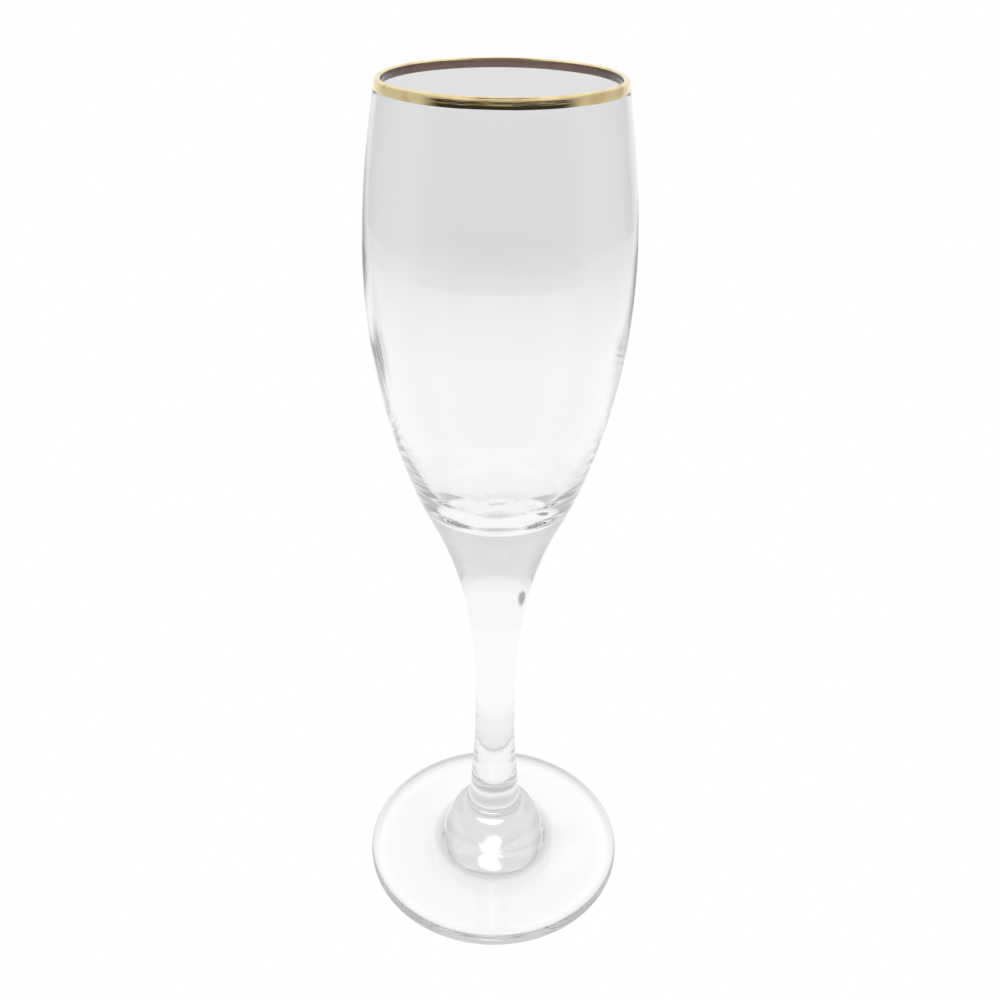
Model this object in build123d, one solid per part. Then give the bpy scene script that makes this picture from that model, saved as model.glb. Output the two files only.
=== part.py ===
from build123d import *
import os
from math import asin, cos, degrees, radians, sin

os.makedirs("parts", exist_ok=True)

# Champagne flute: a tulip bowl on a drawn stem and a pressed foot, with a gold rim.
# Millimetres, +Z up, origin at the centre of the circle that the foot rests on.
# Every piece is turned about Z, so each outline is drawn in the XZ plane as (radius, height).
# The four pieces meet face to face, as they are fused and fired together.

# Overall sizes
total_height = 200.0  # resting plane to the top of the gilded lip
rim_radius = 23.55  # outside of the gilded lip
foot_radius = 33.2  # outside of the foot

# Lip: fire polished to a full round, on a wall that leans in towards the mouth
lip_thickness = 1.3
lip_lean = 10.8  # degrees from upright
lip_straight = 2.4  # length of plain leaning wall under the round, inside and outside

# Gold rim: a thin fired band wrapped over the lip
gold_thickness = 0.1
gold_drop = 1.3  # how far the band runs down the outside of the wall from the round
gold_wrap = 45.0  # degrees over the top, inwards, at which the band ends

# Bowl, outside: radii at depths below the top
belly_radius = 27.25
belly_depth = 41.0
shoulder_radius = 21.1
shoulder_depth = 77.8
hip_radius = 16.1
hip_depth = 91.4
flare_radius = 13.35
flare_depth = 97.4
neck_depth = 124.0  # where the bowl's solid base is fused to the stem

# Bowl, inside: wall measured across the radius at the same depths
belly_wall = 1.9
shoulder_wall = 2.8
floor_corner_radius = 12.0  # inside radius where the floor turns up into the wall
floor_corner_rise = 3.2  # height of that turn above the floor
floor_depth = 91.8  # lowest point of the inside, below the top

# Stem
neck_radius = 6.25  # top of the stem
neck_splay = 7.8  # degrees that the glass spreads at the top of the stem
waist_radius = 4.9
waist_height = 49.0
ankle_radius = 5.55  # bottom of the stem
ankle_splay = 4.0  # degrees that the glass spreads at the bottom of the stem
ankle_height = 32.5  # where the stem is fused to the foot

# Foot, top: a plate that turns up into a dome, with a collar of stem glass on it
foot_edge = 4.4  # thickness at the edge
edge_round_top = 2.1
edge_round_bottom = 1.5
mound_radius = 16.2  # where the plate turns up into the dome
mound_height = 4.9
mound_turn = 60.0  # degrees from upright at which the dome starts
dome_radius = 13.4  # side of the dome
dome_height = 8.4
crown_radius = 9.8  # where the dome closes in
crown_height = 15.4
collar_radius = 7.2  # where the crown meets the collar
collar_height = 18.6
sleeve_radius = 6.5  # on the collar
sleeve_height = 21.0
throat_radius = 6.1  # on the collar, under the stem
throat_height = 25.5

# Foot, underneath: a shallow hollow inside a flat ring
rest_ring_width = 3.4
hollow_depth = 0.6


def at(radius, height):
    """A point of an outline."""
    return Vector(radius, 0, height)


def slope(degrees_from_up):
    """Unit direction in the outline's plane, turned outwards from straight up."""
    return Vector(sin(radians(degrees_from_up)), 0, cos(radians(degrees_from_up)))


def smooth(points, start, end):
    """A smooth curve through the points, leaving and arriving in the given unit directions."""
    return Spline(*points, tangents=[start, end], tangent_scalars=[1, 1])


def turned(*edges):
    """The solid that a closed outline sweeps about Z."""
    outline = Wire(list(edges))
    return revolve(Face(outline), Axis.Z)


# The lip's centre line: along the wall, and square to it
down_wall = -slope(-lip_lean)
out_of_wall = slope(90 - lip_lean)
lip_round = lip_thickness / 2
lip_centre = at(
    rim_radius - (lip_round + gold_thickness) * out_of_wall.X,
    total_height - lip_round - gold_thickness,
)


def beside_lip(offset, drop):
    """The point that far out of the lip's middle surface and that far down the wall."""
    return lip_centre + out_of_wall * offset + down_wall * drop


def round_over(centre, radius, first, last):
    """An arc about a centre, between two directions in degrees turned outwards from up."""
    middle = (first + last) / 2
    return ThreePointArc(*[centre + slope(turn) * radius for turn in (first, middle, last)])


def make_bowl():
    """Blown bowl with its solid base, open at the top."""
    neck_height = total_height - neck_depth
    outer_lip = beside_lip(lip_round, lip_straight)
    inner_lip = beside_lip(-lip_round, lip_straight)
    neck = at(neck_radius, neck_height)
    neck_centre = at(0, neck_height)
    floor = at(0, total_height - floor_depth)
    outer_wall = smooth(
        [
            outer_lip,
            at(belly_radius, total_height - belly_depth),
            at(shoulder_radius, total_height - shoulder_depth),
            at(hip_radius, total_height - hip_depth),
            at(flare_radius, total_height - flare_depth),
            neck,
        ],
        down_wall,
        -slope(neck_splay),
    )
    inner_wall = smooth(
        [
            floor,
            at(floor_corner_radius, total_height - floor_depth + floor_corner_rise),
            at(shoulder_radius - shoulder_wall, total_height - shoulder_depth),
            at(belly_radius - belly_wall, total_height - belly_depth),
            inner_lip,
        ],
        slope(90),
        -down_wall,
    )
    return turned(
        Line(neck_centre, floor),
        inner_wall,
        Line(inner_lip, beside_lip(-lip_round, 0)),
        round_over(lip_centre, lip_round, 90 - lip_lean, -90 - lip_lean),
        Line(beside_lip(lip_round, 0), outer_lip),
        outer_wall,
        Line(neck, neck_centre),
    )


def make_gold_rim():
    """Fired gold band: a thin skin over the lip and a little way down the outside."""
    skin = lip_round + gold_thickness
    outer_turn = 90 - lip_lean
    inner_turn = -gold_wrap
    return turned(
        Line(beside_lip(lip_round, gold_drop), beside_lip(lip_round, 0)),
        round_over(lip_centre, lip_round, outer_turn, inner_turn),
        Line(lip_centre + slope(inner_turn) * lip_round, lip_centre + slope(inner_turn) * skin),
        round_over(lip_centre, skin, inner_turn, outer_turn),
        Line(beside_lip(skin, 0), beside_lip(skin, gold_drop)),
        Line(beside_lip(skin, gold_drop), beside_lip(lip_round, gold_drop)),
    )


def make_stem():
    """Drawn stem, slimmest low down, spreading into the bowl and the foot."""
    top = at(neck_radius, total_height - neck_depth)
    bottom = at(ankle_radius, ankle_height)
    side = smooth(
        [bottom, at(waist_radius, waist_height), top],
        slope(-ankle_splay),
        slope(neck_splay),
    )
    return turned(
        Line(at(0, ankle_height), bottom),
        side,
        Line(top, at(0, top.Z)),
        Line(at(0, top.Z), at(0, ankle_height)),
    )


def make_foot():
    """Pressed foot: a rounded plate with a dome and collar on top and a hollow underneath."""
    ring_outer = at(foot_radius - edge_round_bottom, 0)
    ring_inner = at(ring_outer.X - rest_ring_width, 0)
    side_bottom = at(foot_radius, edge_round_bottom)
    side_top = at(foot_radius, foot_edge - edge_round_top)
    plate_outer = at(foot_radius - edge_round_top, foot_edge)
    mound = at(mound_radius, mound_height)
    ankle = at(ankle_radius, ankle_height)
    hollow_radius = (ring_inner.X**2 + hollow_depth**2) / (2 * hollow_depth)
    hollow_centre = at(0, hollow_depth - hollow_radius)
    hollow_spread = degrees(asin(ring_inner.X / hollow_radius))
    flare = smooth(
        [
            mound,
            at(dome_radius, dome_height),
            at(crown_radius, crown_height),
            at(collar_radius, collar_height),
            at(sleeve_radius, sleeve_height),
            at(throat_radius, throat_height),
            ankle,
        ],
        slope(-mound_turn),
        slope(-ankle_splay),
    )
    return turned(
        Line(ring_inner, ring_outer),
        round_over(at(ring_outer.X, edge_round_bottom), edge_round_bottom, 180, 90),
        Line(side_bottom, side_top),
        round_over(at(plate_outer.X, side_top.Z), edge_round_top, 90, 0),
        Line(plate_outer, mound),
        flare,
        Line(ankle, at(0, ankle_height)),
        Line(at(0, ankle_height), at(0, hollow_depth)),
        round_over(hollow_centre, hollow_radius, 0, hollow_spread),
    )


pieces = {
    "bowl": make_bowl(),
    "stem": make_stem(),
    "foot": make_foot(),
    "gold_rim": make_gold_rim(),
}
for name, piece in pieces.items():
    piece.label = name
    export_step(piece, f"parts/{name}.step")
    print(name, round(piece.volume), "mm3")
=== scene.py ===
import math

import bpy
import numpy as np
from bpy.props import FloatProperty, FloatVectorProperty, IntProperty, PointerProperty
from bpy.types import Operator, Panel, PropertyGroup
from mathutils import Matrix, Vector


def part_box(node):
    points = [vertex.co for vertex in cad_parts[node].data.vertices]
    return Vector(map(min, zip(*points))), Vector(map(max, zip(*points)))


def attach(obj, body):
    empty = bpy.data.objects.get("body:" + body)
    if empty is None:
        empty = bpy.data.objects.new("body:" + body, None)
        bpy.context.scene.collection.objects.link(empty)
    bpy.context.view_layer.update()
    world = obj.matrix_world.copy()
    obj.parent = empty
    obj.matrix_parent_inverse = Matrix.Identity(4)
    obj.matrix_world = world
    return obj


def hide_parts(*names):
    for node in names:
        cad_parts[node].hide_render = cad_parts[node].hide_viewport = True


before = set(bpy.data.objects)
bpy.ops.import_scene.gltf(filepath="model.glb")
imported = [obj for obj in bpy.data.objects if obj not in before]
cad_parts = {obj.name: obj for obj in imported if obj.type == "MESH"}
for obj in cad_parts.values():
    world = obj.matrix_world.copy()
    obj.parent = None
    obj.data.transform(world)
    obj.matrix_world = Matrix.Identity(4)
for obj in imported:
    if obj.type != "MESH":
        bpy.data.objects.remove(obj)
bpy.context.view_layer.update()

bl_info = {
    "name": "Gold-rimmed champagne flute",
    "version": (1, 0, 0),
    "blender": (4, 5, 0),
    "location": "3D View > Sidebar > Flute",
    "description": "Builds a champagne flute: bowl, drawn stem, pressed foot and fired gold rim",
    "category": "Add Mesh",
}

MM = 0.001
FOOT_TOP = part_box("foot")[1].z / MM  # where the foot is fused to the stem
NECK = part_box("bowl")[0].z / MM  # where the stem is fused to the bowl
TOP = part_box("gold_rim")[1].z / MM
FOOT_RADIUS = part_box("foot")[1].y / MM

AXIS_MM = 1e-6  # a row nearer to Z than this is a single point
CRISP_BEND = math.radians(35)  # a row that turns by more than this is a crisp edge
SEAM_OFFSET_MM = 0.01  # the glass lies this much deeper under the gold, so it never pokes through
WALL_STEPS = 150  # rows down each wall of the bowl

# Table: radius in metres, and how brightly it glows into the glass at distances in millimetres.
# The glow carries painted shade under the dome and under the edge of the foot, and is painted dimmer far
# away.
TABLE_RADIUS = 0.6
TABLE_DROP = 0.0002  # below the foot, so that the glass never shares a plane with it
TABLE_GLOW_AND_PAINTED_SHADE = [
    (0, 0.5),
    (6, 0.55),
    (11, 0.7),
    (15, 0.86),
    (20, 0.94),
    (31, 0.97),
    (33.2, 0.7),
    (36, 0.8),
    (60, 0.96),
    (300, 0.97),
    (400, 0.91),
    (520, 0.765),
    (600, 0.75),
]
SHADOW_AT = (-0.195, 0.24, 0.0)  # a soft painted shadow on the table, behind the flute and to its left
SHADOW_CORE, SHADOW_REACH = 0.03, 0.072  # where it is deepest, and where it ends
SHADOW_LEVEL = 0.35

# Room: how bright it is from straight down (0) to straight up (1)
ROOM_GLOW = [
    (0.36, 0.75),
    (0.45, 0.745),
    (0.55, 0.7),
    (0.72, 0.74),
    (0.8, 0.72),
    (0.88, 0.8),
    (0.94, 0.75),
    (1.0, 0.55),
]
FRONT_LEVEL, SIDE_LEVEL = 0.5, 0.65  # how much of that is left straight in front and at the sides
SOFT_BOX_TOWARDS = Vector((0.04, 0.75, 0.7)).normalized()
SOFT_BOX_CORE, SOFT_BOX_REACH = math.radians(1.0), math.radians(10.0)

# Camera, in metres, degrees and millimetres of lens
CAMERA_AT = (0.0, -0.210774, 0.231561)
CAMERA_TILT = 60.0
CAMERA_ROLL = 0.627
CAMERA_LENS = 38.857
CAMERA_SENSOR = 36.0
CAMERA_SHIFT = 0.00275
BOUNCES = 64  # light crosses many glass surfaces before it leaves the foot's edge


# Sizes and colours that a user can change


def length(label, text, millimetres):
    """A length that is set in the sidebar and kept in metres."""
    return FloatProperty(
        name=label,
        description=text,
        default=millimetres * MM,
        min=0.0,
        precision=5,
        unit="LENGTH",
    )


def turn_from_upright(label, text, degrees):
    """An angle from the upright, in the plane of an outline."""
    return FloatProperty(
        name=label,
        description=text,
        default=math.radians(degrees),
        unit="ROTATION",
    )


def share(label, text, default):
    """A plain number from 0 to 1."""
    return FloatProperty(name=label, description=text, default=default, min=0.0, max=1.0)


def linear(hex_colour):
    """An sRGB hex colour as linear red, green, blue and alpha."""
    channels = [int(hex_colour[i : i + 2], 16) / 255 for i in (1, 3, 5)]
    return [c / 12.92 if c <= 0.04045 else ((c + 0.055) / 1.055) ** 2.4 for c in channels] + [1.0]


def colour(label, text, hex_colour):
    """A colour that is set in the sidebar."""
    return FloatVectorProperty(
        name=label,
        description=text,
        default=linear(hex_colour),
        size=4,
        min=0.0,
        max=1.0,
        subtype="COLOR",
    )


class FLUTE_PG_bowl(PropertyGroup):
    rim_radius: length("Rim radius", "Outside of the gilded lip", 23.55)
    lip_thickness: length("Lip thickness", "Across the fire-polished lip", 1.3)
    lip_lean: turn_from_upright("Lip lean", "How far the lip leans in towards the mouth", 10.8)
    lip_straight: length("Lip straight", "Plain leaning wall under the round of the lip", 2.4)
    belly_radius: length("Belly radius", "Outside at the widest part", 27.25)
    belly_depth: length("Belly depth", "Below the top", 41.0)
    shoulder_radius: length("Shoulder radius", "Outside, under the belly", 21.1)
    shoulder_depth: length("Shoulder depth", "Below the top", 77.8)
    hip_radius: length("Hip radius", "Outside, level with the floor", 16.1)
    hip_depth: length("Hip depth", "Below the top", 91.4)
    flare_radius: length("Flare radius", "Outside, under the floor", 13.35)
    flare_depth: length("Flare depth", "Below the top", 97.4)
    belly_wall: length("Belly wall", "Thickness at the belly", 1.9)
    shoulder_wall: length("Shoulder wall", "Thickness at the shoulder", 2.8)
    floor_corner_radius: length("Floor corner", "Inside, where the floor turns up", 12.0)
    floor_corner_rise: length("Floor corner rise", "Height of that turn above the floor", 3.2)
    floor_depth: length("Floor depth", "Lowest point of the inside, below the top", 91.8)
    wave: length("Blown wave", "Unevenness that blowing leaves inside", 0.05)


class FLUTE_PG_stem(PropertyGroup):
    neck_radius: length("Neck radius", "Top of the stem", 6.25)
    neck_splay: turn_from_upright("Neck splay", "How far the glass spreads at the neck", 7.8)
    waist_radius: length("Waist radius", "The slimmest part", 4.9)
    waist_height: length("Waist height", "Above the table", 49.0)
    ankle_radius: length("Ankle radius", "Bottom of the stem", 5.55)
    ankle_splay: turn_from_upright("Ankle splay", "How far the glass spreads at the ankle", 4.0)
    wave: length("Drawn wave", "Unevenness that drawing leaves", 0.02)


class FLUTE_PG_foot(PropertyGroup):
    edge: length("Edge", "Thickness at the edge", 4.4)
    edge_round_top: length("Top round", "Round over the top of the edge", 2.1)
    edge_round_bottom: length("Bottom round", "Round under the edge", 1.5)
    mound_radius: length("Mound radius", "Where the plate turns up into the dome", 16.2)
    mound_height: length("Mound height", "Above the table", 4.9)
    mound_turn: turn_from_upright("Mound turn", "Slope at which the dome starts", 60.0)
    dome_radius: length("Dome radius", "Side of the dome", 13.4)
    dome_height: length("Dome height", "Above the table", 8.4)
    crown_radius: length("Crown radius", "Where the dome closes in", 9.8)
    crown_height: length("Crown height", "Above the table", 15.4)
    collar_radius: length("Collar radius", "Where the crown meets the collar", 7.2)
    collar_height: length("Collar height", "Above the table", 18.6)
    sleeve_radius: length("Sleeve radius", "On the collar", 6.5)
    sleeve_height: length("Sleeve height", "Above the table", 21.0)
    throat_radius: length("Throat radius", "On the collar, under the stem", 6.1)
    throat_height: length("Throat height", "Above the table", 25.5)
    rest_ring_width: length("Rest ring width", "Flat ring that the foot rests on", 3.4)
    hollow_depth: length("Hollow depth", "Underneath, at the middle", 0.6)
    wave: length("Pressed wave", "Unevenness that the press and the flame leave", 0.07)


class FLUTE_PG_rim(PropertyGroup):
    thickness: length("Thickness", "Thickness of the fired band", 0.1)
    drop: length("Drop", "How far the band runs down the outside", 1.3)
    wrap: turn_from_upright("Wrap", "How far past the top the band reaches inwards", 45.0)
    brush_wander: length("Brush wander", "How far the painted edge strays", 0.12)


class FLUTE_PG_finish(PropertyGroup):
    sectors: IntProperty(name="Sectors", description="Faces round each piece", default=256, min=32)
    bowl_glass: colour("Bowl glass", "Tint of the bowl", "#FEFEFE")
    stem_glass: colour("Stem glass", "Tint of the stem", "#FEFEFE")
    foot_glass: colour("Foot glass", "Tint of the foot, where the glass is thickest", "#FEFEFE")
    foot_edge: colour("Foot edge", "Tint of the foot's edge, seen through its width", "#DEE0DE")
    gold: colour("Gold", "The fired gold where it is thickest", "#F6E3AC")
    thin_gold: colour("Thin gold", "The fired gold where it thins out", "#E6CB92")
    # Painted shade: a darker purple-brown copy of the gold for its face seen through the glass
    gold_underside_painted_shade: colour("Gold underside", "The fired gold where it is seen through the glass", "#856A5C")
    gold_roughness: share("Gold roughness", "How much the fired gold blurs what it mirrors", 0.07)
    floor: colour("Floor", "Pale table under the flute", "#FFFFFF")


# Outlines: rows of (radius, height) in millimetres


def direction(turn):
    """Unit direction in an outline's plane, turned outwards from straight up by that many radians."""
    return np.array([math.sin(turn), math.cos(turn)])


def spline(points, start, end, steps):
    """A smooth curve through the points, leaving and arriving in the given unit directions."""
    points = np.array(points, float)
    last = len(points) - 1
    spans = np.hypot(*np.diff(points, axis=0).T)
    system = np.eye(last + 1)
    slopes = np.zeros((last + 1, 2))
    slopes[0], slopes[last] = start, end
    for i in range(1, last):
        before, after = spans[i - 1], spans[i]
        system[i, i - 1 : i + 2] = after, 2 * (before + after), before
        into = after / before * (points[i] - points[i - 1])
        out = before / after * (points[i + 1] - points[i])
        slopes[i] = 3 * (into + out)
    slopes = np.linalg.solve(system, slopes)
    curve = []
    for i in range(last):
        count = max(2, round(steps * spans[i] / spans.sum()))
        for t in np.linspace(0, 1, count, endpoint=False):
            u = 1 - t
            curve.append(
                (1 + 2 * t) * u * u * points[i]
                + t * u * u * spans[i] * slopes[i]
                + t * t * (3 - 2 * t) * points[i + 1]
                - t * t * u * spans[i] * slopes[i + 1]
            )
    return curve + [points[last]]


def arc(centre, radius, first, last, steps):
    """Points about a centre, between two directions in radians turned outwards from up."""
    return [np.array(centre) + radius * direction(turn) for turn in np.linspace(first, last, steps)]


def lip_frame(bowl, rim):
    """The centre of the lip's round, the direction out of the wall and the direction down it."""
    out_of_wall = direction(math.pi / 2 - bowl.lip_lean)
    down_wall = -direction(-bowl.lip_lean)
    reach = (bowl.lip_thickness / 2 + rim.thickness) / MM
    centre = np.array([bowl.rim_radius / MM - reach * out_of_wall[0], TOP - reach])
    return centre, out_of_wall, down_wall


# Meshes


def waves(angle, along, count, seed):
    """Gentle unevenness from -1 to 1: a few slow waves round the piece that drift along the outline."""
    random = np.random.default_rng(seed)
    total = np.zeros(np.broadcast(angle, along).shape)
    for lobes in range(2, 2 + count):
        phase, drift, pitch = random.uniform([0, -0.12, 0.05], [2 * math.pi, 0.12, 0.2])
        total += np.sin(lobes * angle + phase + drift * along) * np.cos(pitch * along + phase)
    return total / math.sqrt(count)


def turned(name, rows, sectors, bump=None, seam_rows=(), closed_ring=False):
    """A smooth closed mesh swept about Z by rows of (radius, height) in millimetres. The rows run
    from Z back to Z, or round a closed_ring.

    bump gives each point's shift along its normal in millimetres, from angle and distance along
    the outline. seam_rows are the rows whose faces, up to the next row, are fused to another piece.
    """
    rows = np.array(rows, float)
    count = len(rows)
    step = np.roll(rows, -1, 0) - np.roll(rows, 1, 0)
    if not closed_ring:
        step[0], step[-1] = rows[1] - rows[0], rows[-1] - rows[-2]
    normal = np.stack([step[:, 1], -step[:, 0]], 1)
    normal /= np.maximum(np.hypot(*normal.T), 1e-9)[:, None]
    along = np.concatenate([[0], np.cumsum(np.hypot(*np.diff(rows, axis=0).T))])
    angle = np.linspace(0, 2 * math.pi, sectors, endpoint=False)
    shift = np.zeros((count, sectors))
    if bump is not None:
        shift = bump(angle[None, :], along[:, None], rows)
    radius = rows[:, :1] + normal[:, :1] * shift
    height = rows[:, 1:] + normal[:, 1:] * shift
    grid = np.stack([radius * np.cos(angle), radius * np.sin(angle), height], 2) * MM
    vertices, first = [], []
    for i in range(count):
        first.append(len(vertices))
        on_axis = rows[i, 0] < AXIS_MM
        vertices += [(0.0, 0.0, rows[i, 1] * MM)] if on_axis else grid[i].tolist()
    faces, seams = [], []
    for i in range(count if closed_ring else count - 1):
        j = (i + 1) % count
        fan_start, fan_end = rows[i, 0] < AXIS_MM, rows[j, 0] < AXIS_MM
        for k in range(sectors):
            n = (k + 1) % sectors
            if fan_start:
                faces.append((first[i], first[j] + n, first[j] + k))
            elif fan_end:
                faces.append((first[i] + k, first[i] + n, first[j]))
            else:
                faces.append((first[i] + k, first[i] + n, first[j] + n, first[j] + k))
            seams.append(i in seam_rows)
    mesh = bpy.data.meshes.new(name)
    mesh.from_pydata(vertices, [], faces)
    mesh.update()
    mesh.polygons.foreach_set("use_smooth", [True] * len(faces))
    mesh.polygons.foreach_set("material_index", [int(seam) for seam in seams])
    # A row where a flat fused face meets the outside is crisp, and the rest is smooth
    crisp = set()
    for i in range(count):
        before, after = (i - 1) % count, (i + 1) % count
        if not closed_ring and (i == 0 or i == count - 1):
            continue
        into, out = rows[i] - rows[before], rows[after] - rows[i]
        bend = abs(math.atan2(into[0] * out[1] - into[1] * out[0], into @ out))
        if bend > CRISP_BEND:
            crisp.add(i)
    if crisp:
        row_of = np.repeat(np.arange(count), [1 if r < AXIS_MM else sectors for r in rows[:, 0]])
        ends = np.zeros(len(mesh.edges) * 2, int)
        mesh.edges.foreach_get("vertices", ends)
        ends = row_of[ends.reshape(-1, 2)]
        sharp = (ends[:, 0] == ends[:, 1]) & np.isin(ends[:, 0], list(crisp))
        mesh.attributes.new("sharp_edge", "BOOLEAN", "EDGE").data.foreach_set("value", sharp)
    mesh.validate()
    return mesh


def place(name, mesh, node, slot, *materials):
    """Puts a piece in the scene in place of its CAD node."""
    old = bpy.data.objects.get(name)
    if old is not None:
        bpy.data.objects.remove(old)
    piece = bpy.data.objects.new(name, mesh)
    bpy.context.scene.collection.objects.link(piece)
    for material in materials:
        mesh.materials.append(material)
    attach(piece, "root")
    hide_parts(node)
    return piece


# Materials


def add_node(tree, kind, settings=None, links=None):
    """A new node of that kind with its values set and its inputs linked."""
    node = tree.nodes.new(kind)
    for key, value in (settings or {}).items():
        if isinstance(key, int) or key in node.inputs:
            node.inputs[key].default_value = value
        else:
            setattr(node, key, value)
    for key, socket in (links or {}).items():
        tree.links.new(socket, node.inputs[key])
    return node


def new_material(name):
    """An empty material and its node tree."""
    material = bpy.data.materials.get(name) or bpy.data.materials.new(name)
    material.use_nodes = True
    material.node_tree.nodes.clear()
    return material, material.node_tree


def set_ramp(node, stops):
    """Sets a colour ramp's stops: (position, linear colour)."""
    elements = node.color_ramp.elements
    while len(elements) > 1:
        elements.remove(elements[-1])
    elements[0].position, elements[0].color = stops[0]
    for position, value in stops[1:]:
        elements.new(position).color = value


def glass(name, tint, stretch, cord_mm, cord_depth_mm, edge_tint=None, edge_radius_mm=0.0):
    """Clear soda-lime glass whose surface carries the cords left by the way it was made.

    cord_mm is the width of a cord, and stretch how many times longer it runs along Z. Beyond
    edge_radius_mm from the axis the glass takes edge_tint, as light runs a long way through it there.
    """
    material, tree = new_material(name)
    place_in_mesh = add_node(tree, "ShaderNodeTexCoord")
    stretched = add_node(
        tree,
        "ShaderNodeMapping",
        {"Scale": (1.0, 1.0, 1.0 / stretch)},
        {"Vector": place_in_mesh.outputs["Object"]},
    )
    cords = add_node(
        tree,
        "ShaderNodeTexNoise",
        {"Scale": 1.0 / (2 * cord_mm * MM), "Detail": 1.5, "Roughness": 0.4},
        {"Vector": stretched.outputs["Vector"]},
    )
    bump = add_node(
        tree,
        "ShaderNodeBump",
        {"Strength": 1.0, "Distance": cord_depth_mm * MM},
        {"Height": cords.outputs["Fac"]},
    )
    shader = add_node(
        tree,
        "ShaderNodeBsdfPrincipled",
        {"Base Color": tint, "Roughness": 0.0, "IOR": 1.52, "Transmission Weight": 1.0},
        {"Normal": bump.outputs["Normal"]},
    )
    if edge_tint is not None:
        edge_blend_mm = 0.6
        flat = add_node(
            tree,
            "ShaderNodeVectorMath",
            {"operation": "MULTIPLY", 1: (1.0, 1.0, 0.0)},
            {0: place_in_mesh.outputs["Object"]},
        )
        away = add_node(
            tree, "ShaderNodeVectorMath", {"operation": "LENGTH"}, {0: flat.outputs["Vector"]}
        )
        beyond = add_node(
            tree,
            "ShaderNodeMapRange",
            {"From Min": edge_radius_mm * MM, "From Max": (edge_radius_mm + edge_blend_mm) * MM},
            {"Value": away.outputs["Value"]},
        )
        depth = add_node(
            tree,
            "ShaderNodeMix",
            {"data_type": "RGBA", 6: tint, 7: edge_tint},
            {0: beyond.outputs["Result"]},
        )
        tree.links.new(depth.outputs[2], shader.inputs["Base Color"])
    add_node(tree, "ShaderNodeOutputMaterial", None, {"Surface": shader.outputs["BSDF"]})
    return material


def fused_seam():
    """Glass fused to glass, or to the gold fired on it: no air between them, so light goes straight
    on, and the eye sees no joint."""
    material, tree = new_material("soda_lime_glass_fused_seam")
    shader = add_node(tree, "ShaderNodeBsdfTransparent", {"Color": (1.0, 1.0, 1.0, 1.0)})
    add_node(tree, "ShaderNodeOutputMaterial", None, {"Surface": shader.outputs["BSDF"]})
    return material


def fired_gold(finish):
    """Liquid gold, brushed on and fired: a bright mirror with faint rings left by the brush, a
    little browner where the film is thin."""
    material, tree = new_material("liquid_gold_brushed_and_fired")
    place_in_mesh = add_node(tree, "ShaderNodeTexCoord")
    stroke_mm, ring_mm, ring_depth_mm = 4.0, 0.4, 0.03
    stroke = {"Scale": 1.0 / (stroke_mm * MM), "Detail": 2.0, "Roughness": 0.5}
    # Patches a few millimetres long round the lip, where the brush left more or less gold
    patches = add_node(
        tree, "ShaderNodeTexNoise", stroke, {"Vector": place_in_mesh.outputs["Object"]}
    )
    # The same pattern squeezed along Z: rings that the brush left round the lip
    squeezed = add_node(
        tree,
        "ShaderNodeMapping",
        {"Scale": (1.0, 1.0, stroke_mm / ring_mm)},
        {"Vector": place_in_mesh.outputs["Object"]},
    )
    rings = add_node(tree, "ShaderNodeTexNoise", stroke, {"Vector": squeezed.outputs["Vector"]})
    film = add_node(tree, "ShaderNodeValToRGB", None, {"Fac": patches.outputs["Fac"]})
    set_ramp(film, [(0.35, finish.thin_gold), (0.55, finish.gold)])
    blur = add_node(
        tree,
        "ShaderNodeMapRange",
        {
            "From Min": 0.3,
            "From Max": 0.7,
            "To Min": finish.gold_roughness * 1.4,
            "To Max": finish.gold_roughness * 0.8,
        },
        {"Value": rings.outputs["Fac"]},
    )
    bump = add_node(
        tree,
        "ShaderNodeBump",
        {"Strength": 1.0, "Distance": ring_depth_mm * MM},
        {"Height": rings.outputs["Fac"]},
    )
    shader = add_node(
        tree,
        "ShaderNodeBsdfPrincipled",
        {"Metallic": 1.0},
        {
            "Base Color": film.outputs["Color"],
            "Roughness": blur.outputs["Result"],
            "Normal": bump.outputs["Normal"],
        },
    )
    add_node(tree, "ShaderNodeOutputMaterial", None, {"Surface": shader.outputs["BSDF"]})
    return material


def gold_through_glass(finish):
    """The face of the fired gold that lies against the glass, seen through the lip from inside the bowl.
    Its dull purple-brown is painted shade: a darker copy of the gold that stands in for the dark room it
    mirrors."""
    material, tree = new_material("liquid_gold_underside")
    shader = add_node(
        tree,
        "ShaderNodeBsdfPrincipled",
        # Painted shade: the darker purple-brown stands in for the dark room this face mirrors
        {"Base Color": finish.gold_underside_painted_shade, "Metallic": 0.8, "Roughness": 0.35},
    )
    add_node(tree, "ShaderNodeOutputMaterial", None, {"Surface": shader.outputs["BSDF"]})
    return material


# Pieces


def fade(distance, reach):
    """0 at a distance of 0, rising smoothly to 1 at reach."""
    t = np.clip(distance / reach, 0, 1)
    return t * t * (3 - 2 * t)


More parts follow.
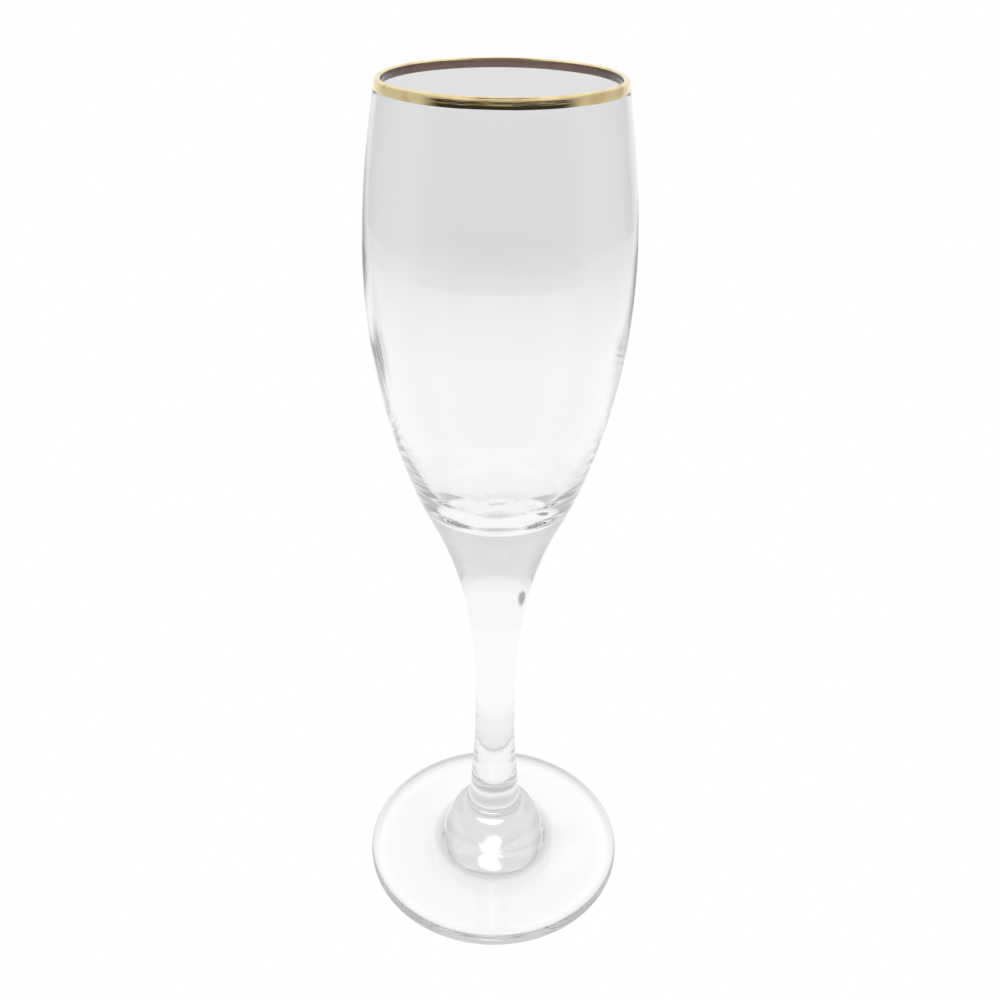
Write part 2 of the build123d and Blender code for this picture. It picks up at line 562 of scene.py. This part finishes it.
class FLUTE_OT_bowl(Operator):
    """Blows the tulip bowl with its thick solid base"""

    bl_idname = "flute.bowl"
    bl_label = "Bowl"
    bl_options = {"REGISTER", "UNDO"}

    def execute(self, context):
        scene = context.scene
        bowl, stem, rim, finish = scene.flute_bowl, scene.flute_stem, scene.flute_rim, scene.flute_finish
        centre, out_of_wall, down_wall = lip_frame(bowl, rim)
        half_lip = bowl.lip_thickness / 2 / MM
        straight = bowl.lip_straight / MM
        outer_lip = centre + out_of_wall * half_lip + down_wall * straight
        inner_lip = centre - out_of_wall * half_lip + down_wall * straight
        outside = [
            (bowl.belly_radius / MM, TOP - bowl.belly_depth / MM),
            (bowl.shoulder_radius / MM, TOP - bowl.shoulder_depth / MM),
            (bowl.hip_radius / MM, TOP - bowl.hip_depth / MM),
            (bowl.flare_radius / MM, TOP - bowl.flare_depth / MM),
            (stem.neck_radius / MM, NECK),
        ]
        floor = TOP - bowl.floor_depth / MM
        inside = [
            (0, floor),
            (bowl.floor_corner_radius / MM, floor + bowl.floor_corner_rise / MM),
            ((bowl.shoulder_radius - bowl.shoulder_wall) / MM, TOP - bowl.shoulder_depth / MM),
            ((bowl.belly_radius - bowl.belly_wall) / MM, TOP - bowl.belly_depth / MM),
            inner_lip,
        ]
        outer = spline([outer_lip] + outside, down_wall, -direction(stem.neck_splay), WALL_STEPS)
        inner = spline(inside, direction(math.pi / 2), -down_wall, WALL_STEPS)
        # Under the gold the lip lies a hair deeper, and comes back to full size inside its edges
        gilded = half_lip - SEAM_OFFSET_MM
        inside_edges, step_up = 0.2, 0.05
        gilt_drop = rim.drop / MM - inside_edges
        gilt_wrap = rim.wrap - inside_edges
        lean = bowl.lip_lean
        under_gold = [
            centre + out_of_wall * half_lip + down_wall * (gilt_drop + step_up),
            centre + out_of_wall * gilded + down_wall * gilt_drop,
            *arc(centre, gilded, math.pi / 2 - lean, -gilt_wrap, 24),
        ]
        bare = arc(centre, half_lip, -gilt_wrap - step_up, -math.pi / 2 - lean, 14)
        rows = [(0, NECK), *outer[::-1], *under_gold, *bare, *inner[::-1]]
        first_lip = 1 + len(outer)
        gilt_rows = set(range(first_lip, first_lip + len(under_gold)))
        inside_start = first_lip + len(under_gold) + len(bare)

        def blown(angle, along, rows):
            """The mould shapes the outside, so the unevenness is on the inside. It dies away near
            the lip and the axis."""
            row = np.arange(len(rows))[:, None]
            near_lip = fade(inner_lip[1] - rows[:, 1:], 12)
            near_axis = fade(rows[:, :1], 6)
            wave = waves(angle, along, count=9, seed=11) * bowl.wave / MM
            return wave * near_lip * near_axis * (row > inside_start)

        mesh = turned("Bowl_Glass", rows, finish.sectors, blown, {0} | gilt_rows)
        # Blown in a mould and fire polished: a smooth, very slightly rippled surface that bends
        # what is behind it, and mirrors the lights sharply
        made = glass(
            "soda_lime_glass_blown_fire_polished",
            finish.bowl_glass,
            stretch=6,
            cord_mm=6,
            cord_depth_mm=0.02,
        )
        place("Bowl_Glass", mesh, "bowl", "bowl_glass", made, fused_seam())
        return {"FINISHED"}


class FLUTE_OT_stem(Operator):
    """Draws the stem between the bowl and the foot"""

    bl_idname = "flute.stem"
    bl_label = "Stem"
    bl_options = {"REGISTER", "UNDO"}

    def execute(self, context):
        scene = context.scene
        stem, finish = scene.flute_stem, scene.flute_finish
        side = spline(
            [
                (stem.ankle_radius / MM, FOOT_TOP),
                (stem.waist_radius / MM, stem.waist_height / MM),
                (stem.neck_radius / MM, NECK),
            ],
            direction(-stem.ankle_splay),
            direction(stem.neck_splay),
            70,
        )
        rows = [(0, FOOT_TOP), *side, (0, NECK)]

        def drawn(angle, along, rows):
            """Even at both fused ends."""
            from_ends = np.minimum(rows[:, 1:] - FOOT_TOP, NECK - rows[:, 1:])
            return waves(angle, along, count=3, seed=5) * stem.wave / MM * fade(from_ends, 8)

        mesh = turned("Stem_Glass", rows, finish.sectors, drawn, {0, len(rows) - 2})
        # Drawn out of hot glass: long faint cords along its length
        made = glass(
            "soda_lime_glass_drawn",
            finish.stem_glass,
            stretch=15,
            cord_mm=3,
            cord_depth_mm=0.012,
        )
        place("Stem_Glass", mesh, "stem", "stem_glass", made, fused_seam())
        return {"FINISHED"}


class FLUTE_OT_foot(Operator):
    """Presses the foot: a round plate with a dome and a collar"""

    bl_idname = "flute.foot"
    bl_label = "Foot"
    bl_options = {"REGISTER", "UNDO"}

    def execute(self, context):
        scene = context.scene
        stem, foot, finish = scene.flute_stem, scene.flute_foot, scene.flute_finish
        edge = foot.edge / MM
        top_round, bottom_round = foot.edge_round_top / MM, foot.edge_round_bottom / MM
        ring_outer = FOOT_RADIUS - bottom_round
        ring_inner = ring_outer - foot.rest_ring_width / MM
        hollow = foot.hollow_depth / MM
        hollow_radius = (ring_inner**2 + hollow**2) / (2 * hollow)
        hollow_spread = math.asin(ring_inner / hollow_radius)
        under = arc((0, hollow - hollow_radius), hollow_radius, 0, hollow_spread, 40)
        rounds = arc((ring_outer, bottom_round), bottom_round, math.pi, math.pi / 2, 14)
        rounds += arc((FOOT_RADIUS - top_round, edge - top_round), top_round, math.pi / 2, 0, 18)
        mound = (foot.mound_radius / MM, foot.mound_height / MM)
        plate = [rounds[-1] + (np.array(mound) - rounds[-1]) * t for t in np.linspace(0, 1, 24)[1:-1]]
        flare = spline(
            [
                mound,
                (foot.dome_radius / MM, foot.dome_height / MM),
                (foot.crown_radius / MM, foot.crown_height / MM),
                (foot.collar_radius / MM, foot.collar_height / MM),
                (foot.sleeve_radius / MM, foot.sleeve_height / MM),
                (foot.throat_radius / MM, foot.throat_height / MM),
                (stem.ankle_radius / MM, FOOT_TOP),
            ],
            direction(-foot.mound_turn),
            direction(-stem.ankle_splay),
            110,
        )
        rows = [*under, *rounds, *plate, *flare, (0, FOOT_TOP)]
        collar_top = FOOT_TOP - 6

        def pressed(angle, along, rows):
            """Even where it rests, at its edge and where it is fused to the stem."""
            from_edge = fade(ring_inner - 1 - rows[:, :1], 6)
            from_axis = fade(rows[:, :1], 7)
            from_joint = fade(collar_top - rows[:, 1:], 6)
            wave = waves(angle, along, count=7, seed=3) * foot.wave / MM
            return wave * from_edge * from_axis * from_joint

        mesh = turned("Foot_Glass", rows, finish.sectors, pressed, {len(rows) - 2})
        # Pressed, then fire polished: a soft orange-peel wave, and the greenish grey of thick glass
        made = glass(
            "soda_lime_glass_pressed_fire_polished",
            finish.foot_glass,
            stretch=1,
            cord_mm=5,
            cord_depth_mm=0.03,
            edge_tint=finish.foot_edge,
            edge_radius_mm=FOOT_RADIUS - 1.0,
        )
        place("Foot_Glass", mesh, "foot", "foot_glass", made, fused_seam())
        return {"FINISHED"}


class FLUTE_OT_rim(Operator):
    """Brushes the gold band over the lip and fires it"""

    bl_idname = "flute.rim"
    bl_label = "Gold rim"
    bl_options = {"REGISTER", "UNDO"}

    def execute(self, context):
        scene = context.scene
        bowl, rim, finish = scene.flute_bowl, scene.flute_rim, scene.flute_finish
        centre, out_of_wall, down_wall = lip_frame(bowl, rim)
        half_lip, drop = bowl.lip_thickness / 2 / MM, rim.drop / MM
        full, thin, thinning = rim.thickness / MM, 0.02, 0.5
        turns = np.linspace(math.pi / 2 - bowl.lip_lean, -rim.wrap, 30)

        def film(from_edge):
            """The film thins out towards both edges of the band."""
            return thin + (full - thin) * float(fade(from_edge, thinning))

        def skin(thickness):
            """The band's section, from its outside edge over the lip to its inside edge."""
            down = [
                centre
                + out_of_wall * (half_lip + thickness(drop * (1 - step)))
                + down_wall * drop * step
                for step in np.linspace(1, 0, 12, endpoint=False)
            ]
            over = [
                centre + direction(turn) * (half_lip + thickness((turn + rim.wrap) * half_lip))
                for turn in turns
            ]
            return down + over

        outer = skin(film)
        clear_of_lip = 0.004
        inner = skin(lambda from_edge: clear_of_lip)
        rows = np.array(outer + inner[::-1])
        against_glass = set(range(len(outer) - 1, len(rows)))

        mesh = turned("Gold_Rim", rows, finish.sectors, None, against_glass, closed_ring=True)
        # The brush strays, so the band's lower edge wanders
        points = np.zeros(len(mesh.vertices) * 3)
        mesh.vertices.foreach_get("co", points)
        points = points.reshape(-1, 3)
        radius, angle = np.hypot(points[:, 0], points[:, 1]), np.arctan2(points[:, 1], points[:, 0])
        below = (centre[1] * MM - points[:, 2]).clip(0)
        stray = np.clip(waves(angle, 0, count=9, seed=21), -1, 0.2)
        lift = np.clip(below / rim.drop, 0, 1) ** 2 * stray * rim.brush_wander
        points[:, :2] += (points[:, :2] / radius[:, None]) * (lift * down_wall[0])[:, None]
        points[:, 2] += lift * down_wall[1]
        mesh.vertices.foreach_set("co", points.ravel())
        mesh.update()
        place("Gold_Rim", mesh, "gold_rim", "rim_gold", fired_gold(finish), gold_through_glass(finish))
        return {"FINISHED"}


# Stage


def grey(value):
    """A neutral linear colour."""
    return (value, value, value, 1.0)


def studio_world():
    """Soft light from all round, dimmer in front of the flute and to its sides, which draws its
    outlines. What the glass and the gold mirror has a dark room in it too. The camera sees plain
    white."""
    world = bpy.data.worlds.get("Studio") or bpy.data.worlds.new("Studio")
    bpy.context.scene.world = world
    world.use_nodes = True
    tree = world.node_tree
    tree.nodes.clear()
    ray = add_node(tree, "ShaderNodeTexCoord")
    parts = add_node(tree, "ShaderNodeSeparateXYZ", None, {"Vector": ray.outputs["Generated"]})
    height = add_node(
        tree, "ShaderNodeMapRange", {"From Min": -1.0, "From Max": 1.0}, {"Value": parts.outputs["Z"]}
    )
    sky = add_node(tree, "ShaderNodeValToRGB", None, {"Fac": height.outputs["Result"]})
    set_ramp(sky, [(position, grey(level)) for position, level in ROOM_GLOW])
    path = add_node(tree, "ShaderNodeLightPath")
    # 1 for light that a surface mirrors, 0 for light that comes through glass
    mirrored = add_node(
        tree,
        "ShaderNodeMath",
        {"operation": "SUBTRACT", "use_clamp": True},
        {0: path.outputs["Is Glossy Ray"], 1: path.outputs["Is Transmission Ray"]},
    ).outputs["Value"]
    front = add_node(
        tree,
        "ShaderNodeMapRange",
        {
            "interpolation_type": "SMOOTHSTEP",
            "From Min": -0.9,
            "From Max": -0.4,
            "To Min": FRONT_LEVEL,
            "To Max": 1.0,
        },
        {"Value": parts.outputs["Y"]},
    )
    # The gold mirrors a dark room, low down in front of the flute and right overhead
    ahead = add_node(
        tree,
        "ShaderNodeMapRange",
        {"interpolation_type": "SMOOTHSTEP", "From Min": -0.2, "From Max": -0.6},
        {"Value": parts.outputs["Y"]},
    )
    low = add_node(
        tree,
        "ShaderNodeMapRange",
        {"interpolation_type": "SMOOTHSTEP", "From Min": 0.35, "From Max": 0.1},
        {"Value": parts.outputs["Z"]},
    )
    aside = add_node(tree, "ShaderNodeMath", {"operation": "ABSOLUTE"}, {0: parts.outputs["X"]})
    sides = add_node(
        tree,
        "ShaderNodeMapRange",
        {
            "interpolation_type": "SMOOTHSTEP",
            "From Min": 0.4,
            "From Max": 0.85,
            "To Min": 1.0,
            "To Max": SIDE_LEVEL,
        },
        {"Value": aside.outputs["Value"]},
    )
    dimmed = add_node(
        tree,
        "ShaderNodeMath",
        {"operation": "MULTIPLY"},
        {0: front.outputs["Result"], 1: sides.outputs["Result"]},
    )
    overhead = add_node(
        tree,
        "ShaderNodeMapRange",
        {"interpolation_type": "SMOOTHSTEP", "From Min": 0.94, "From Max": 0.985, "To Max": 0.75},
        {"Value": parts.outputs["Z"]},
    )
    low_ahead = add_node(
        tree,
        "ShaderNodeMath",
        {"operation": "MULTIPLY"},
        {0: ahead.outputs["Result"], 1: low.outputs["Result"]},
    )
    dark = add_node(
        tree,
        "ShaderNodeMath",
        {"operation": "MAXIMUM"},
        {0: low_ahead.outputs["Value"], 1: overhead.outputs["Result"]},
    )
    room = add_node(
        tree, "ShaderNodeMath", {"operation": "MULTIPLY"}, {0: dark.outputs["Value"], 1: mirrored}
    )
    # Elsewhere, what is mirrored is a little brighter than what is seen through the glass
    boxes = add_node(
        tree, "ShaderNodeMapRange", {"To Min": 1.0, "To Max": 1.35}, {"Value": mirrored}
    )
    gloom = add_node(
        tree,
        "ShaderNodeMapRange",
        {"To Max": 0.1},
        {"Value": room.outputs["Value"], "To Min": boxes.outputs["Result"]},
    )
    around = add_node(
        tree,
        "ShaderNodeMath",
        {"operation": "MULTIPLY"},
        {0: dimmed.outputs["Value"], 1: gloom.outputs["Result"]},
    )
    # One soft box high up at the back lights the dome of the foot through the glass
    towards_box = add_node(
        tree,
        "ShaderNodeVectorMath",
        {"operation": "DOT_PRODUCT", 1: SOFT_BOX_TOWARDS},
        {0: ray.outputs["Generated"]},
    )
    box = add_node(
        tree,
        "ShaderNodeMapRange",
        {
            "interpolation_type": "SMOOTHSTEP",
            "From Min": math.cos(SOFT_BOX_REACH),
            "From Max": math.cos(SOFT_BOX_CORE),
        },
        {"Value": towards_box.outputs["Value"]},
    )
    through_glass = add_node(
        tree, "ShaderNodeMapRange", {"To Min": 1.0, "To Max": 0.0}, {"Value": mirrored}
    )
    glare = add_node(
        tree,
        "ShaderNodeMath",
        {"operation": "MULTIPLY"},
        {0: box.outputs["Result"], 1: through_glass.outputs["Result"]},
    )
    strength = add_node(
        tree,
        "ShaderNodeMath",
        {"operation": "ADD"},
        {0: around.outputs["Value"], 1: glare.outputs["Value"]},
    )
    light = add_node(
        tree,
        "ShaderNodeBackground",
        None,
        {"Color": sky.outputs["Color"], "Strength": strength.outputs["Value"]},
    )
    plain = add_node(tree, "ShaderNodeBackground", {"Color": grey(1.0)})
    mixed = add_node(
        tree,
        "ShaderNodeMixShader",
        None,
        {
            0: path.outputs["Is Camera Ray"],
            1: light.outputs["Background"],
            2: plain.outputs["Background"],
        },
    )
    add_node(tree, "ShaderNodeOutputWorld", None, {"Surface": mixed.outputs["Shader"]})


def table_top(finish):
    """Matt white acrylic: plain white to the eye, it glows softly into the glass. The glow has painted
    shade where the flute's own shade would fall, and is painted dimmer far away."""
    material, tree = new_material("matt_white_table_with_painted_shade")
    spot = add_node(tree, "ShaderNodeTexCoord")
    away = add_node(
        tree, "ShaderNodeVectorMath", {"operation": "LENGTH"}, {0: spot.outputs["Object"]}
    )
    share_out = add_node(
        tree, "ShaderNodeMapRange", {"From Max": TABLE_RADIUS}, {"Value": away.outputs["Value"]}
    )
    # The square root of the distance gives the painted shade near the foot more of the ramp
    near_first = add_node(
        tree,
        "ShaderNodeMath",
        {"operation": "POWER", 1: 0.5},
        {0: share_out.outputs["Result"]},
    )
    glow = add_node(tree, "ShaderNodeValToRGB", None, {"Fac": near_first.outputs["Value"]})
    stops = [(math.sqrt(away_mm * MM / TABLE_RADIUS), grey(level)) for away_mm, level in TABLE_GLOW_AND_PAINTED_SHADE]
    set_ramp(glow, stops)
    # A painted shadow on the table darkens the left side of the bowl, which bends the view towards it
    to_shadow = add_node(
        tree,
        "ShaderNodeVectorMath",
        {"operation": "DISTANCE", 1: SHADOW_AT},
        {0: spot.outputs["Object"]},
    )
    shadow = add_node(
        tree,
        "ShaderNodeMapRange",
        {
            "interpolation_type": "SMOOTHSTEP",
            "From Min": SHADOW_CORE,
            "From Max": SHADOW_REACH,
            "To Min": SHADOW_LEVEL,
            "To Max": 1.0,
        },
        {"Value": to_shadow.outputs["Value"]},
    )
    shaded = add_node(
        tree,
        "ShaderNodeVectorMath",
        {"operation": "SCALE"},
        {0: glow.outputs["Color"], "Scale": shadow.outputs["Result"]},
    )
    # The camera sees the plain floor colour; light going into the glass carries the glow with its painted
    # shade and painted shadow
    path = add_node(tree, "ShaderNodeLightPath")
    seen = add_node(
        tree,
        "ShaderNodeMix",
        {"data_type": "RGBA", 7: finish.floor},
        {0: path.outputs["Is Camera Ray"], 6: shaded.outputs["Vector"]},
    )
    shader = add_node(
        tree, "ShaderNodeEmission", {"Strength": 1.0}, {"Color": seen.outputs[2]}
    )
    add_node(tree, "ShaderNodeOutputMaterial", None, {"Surface": shader.outputs["Emission"]})
    return material


class FLUTE_OT_stage(Operator):
    """Sets the table, the soft light and the camera"""

    bl_idname = "flute.stage"
    bl_label = "Stage"
    bl_options = {"REGISTER", "UNDO"}

    def execute(self, context):
        scene = context.scene
        ring = [
            (TABLE_RADIUS * math.cos(turn), TABLE_RADIUS * math.sin(turn), -TABLE_DROP)
            for turn in np.linspace(0, 2 * math.pi, 128, endpoint=False)
        ]
        mesh = bpy.data.meshes.new("Table_Top")
        mesh.from_pydata(ring, [], [list(range(len(ring)))])
        mesh.materials.append(table_top(scene.flute_finish))
        table = bpy.data.objects.new("Table_Top", mesh)
        scene.collection.objects.link(table)
        studio_world()
        lens = bpy.data.cameras.new("Camera")
        lens.sensor_width = CAMERA_SENSOR
        lens.lens = CAMERA_LENS
        lens.shift_x = CAMERA_SHIFT
        lens.clip_start = 0.01
        camera = bpy.data.objects.new("Camera", lens)
        scene.collection.objects.link(camera)
        camera.matrix_world = (
            Matrix.Translation(CAMERA_AT)
            @ Matrix.Rotation(math.radians(CAMERA_TILT), 4, "X")
            @ Matrix.Rotation(math.radians(CAMERA_ROLL), 4, "Z")
        )
        scene.camera = camera
        scene.view_settings.view_transform = "Standard"
        scene.cycles.max_bounces = BOUNCES
        scene.cycles.transmission_bounces = BOUNCES
        scene.cycles.glossy_bounces = BOUNCES
        scene.cycles.transparent_max_bounces = BOUNCES
        return {"FINISHED"}


class FLUTE_PT_sidebar(Panel):
    """Sizes, colours and a button for each piece"""

    bl_label = "Champagne flute"
    bl_idname = "FLUTE_PT_sidebar"
    bl_space_type = "VIEW_3D"
    bl_region_type = "UI"
    bl_category = "Flute"

    def draw(self, context):
        for name, idname in PARTS:
            group = getattr(context.scene, name)
            box = self.layout.box()
            for prop in group.__annotations__:
                box.prop(group, prop)
            box.operator(idname)


PARTS = [
    ("flute_bowl", "flute.bowl"),
    ("flute_stem", "flute.stem"),
    ("flute_foot", "flute.foot"),
    ("flute_rim", "flute.rim"),
    ("flute_finish", "flute.stage"),
]
GROUPS = {
    "flute_bowl": FLUTE_PG_bowl,
    "flute_stem": FLUTE_PG_stem,
    "flute_foot": FLUTE_PG_foot,
    "flute_rim": FLUTE_PG_rim,
    "flute_finish": FLUTE_PG_finish,
}
CLASSES = (
    *GROUPS.values(),
    FLUTE_OT_bowl,
    FLUTE_OT_stem,
    FLUTE_OT_foot,
    FLUTE_OT_rim,
    FLUTE_OT_stage,
    FLUTE_PT_sidebar,
)


def register():
    for cls in CLASSES:
        bpy.utils.register_class(cls)
    for name, group in GROUPS.items():
        setattr(bpy.types.Scene, name, PointerProperty(type=group))


def unregister():
    for name in GROUPS:
        delattr(bpy.types.Scene, name)
    for cls in reversed(CLASSES):
        bpy.utils.unregister_class(cls)


def main():
    register()
    bpy.ops.flute.bowl()
    bpy.ops.flute.stem()
    bpy.ops.flute.foot()
    bpy.ops.flute.rim()
    bpy.ops.flute.stage()


if __name__ == "__main__":
    main()
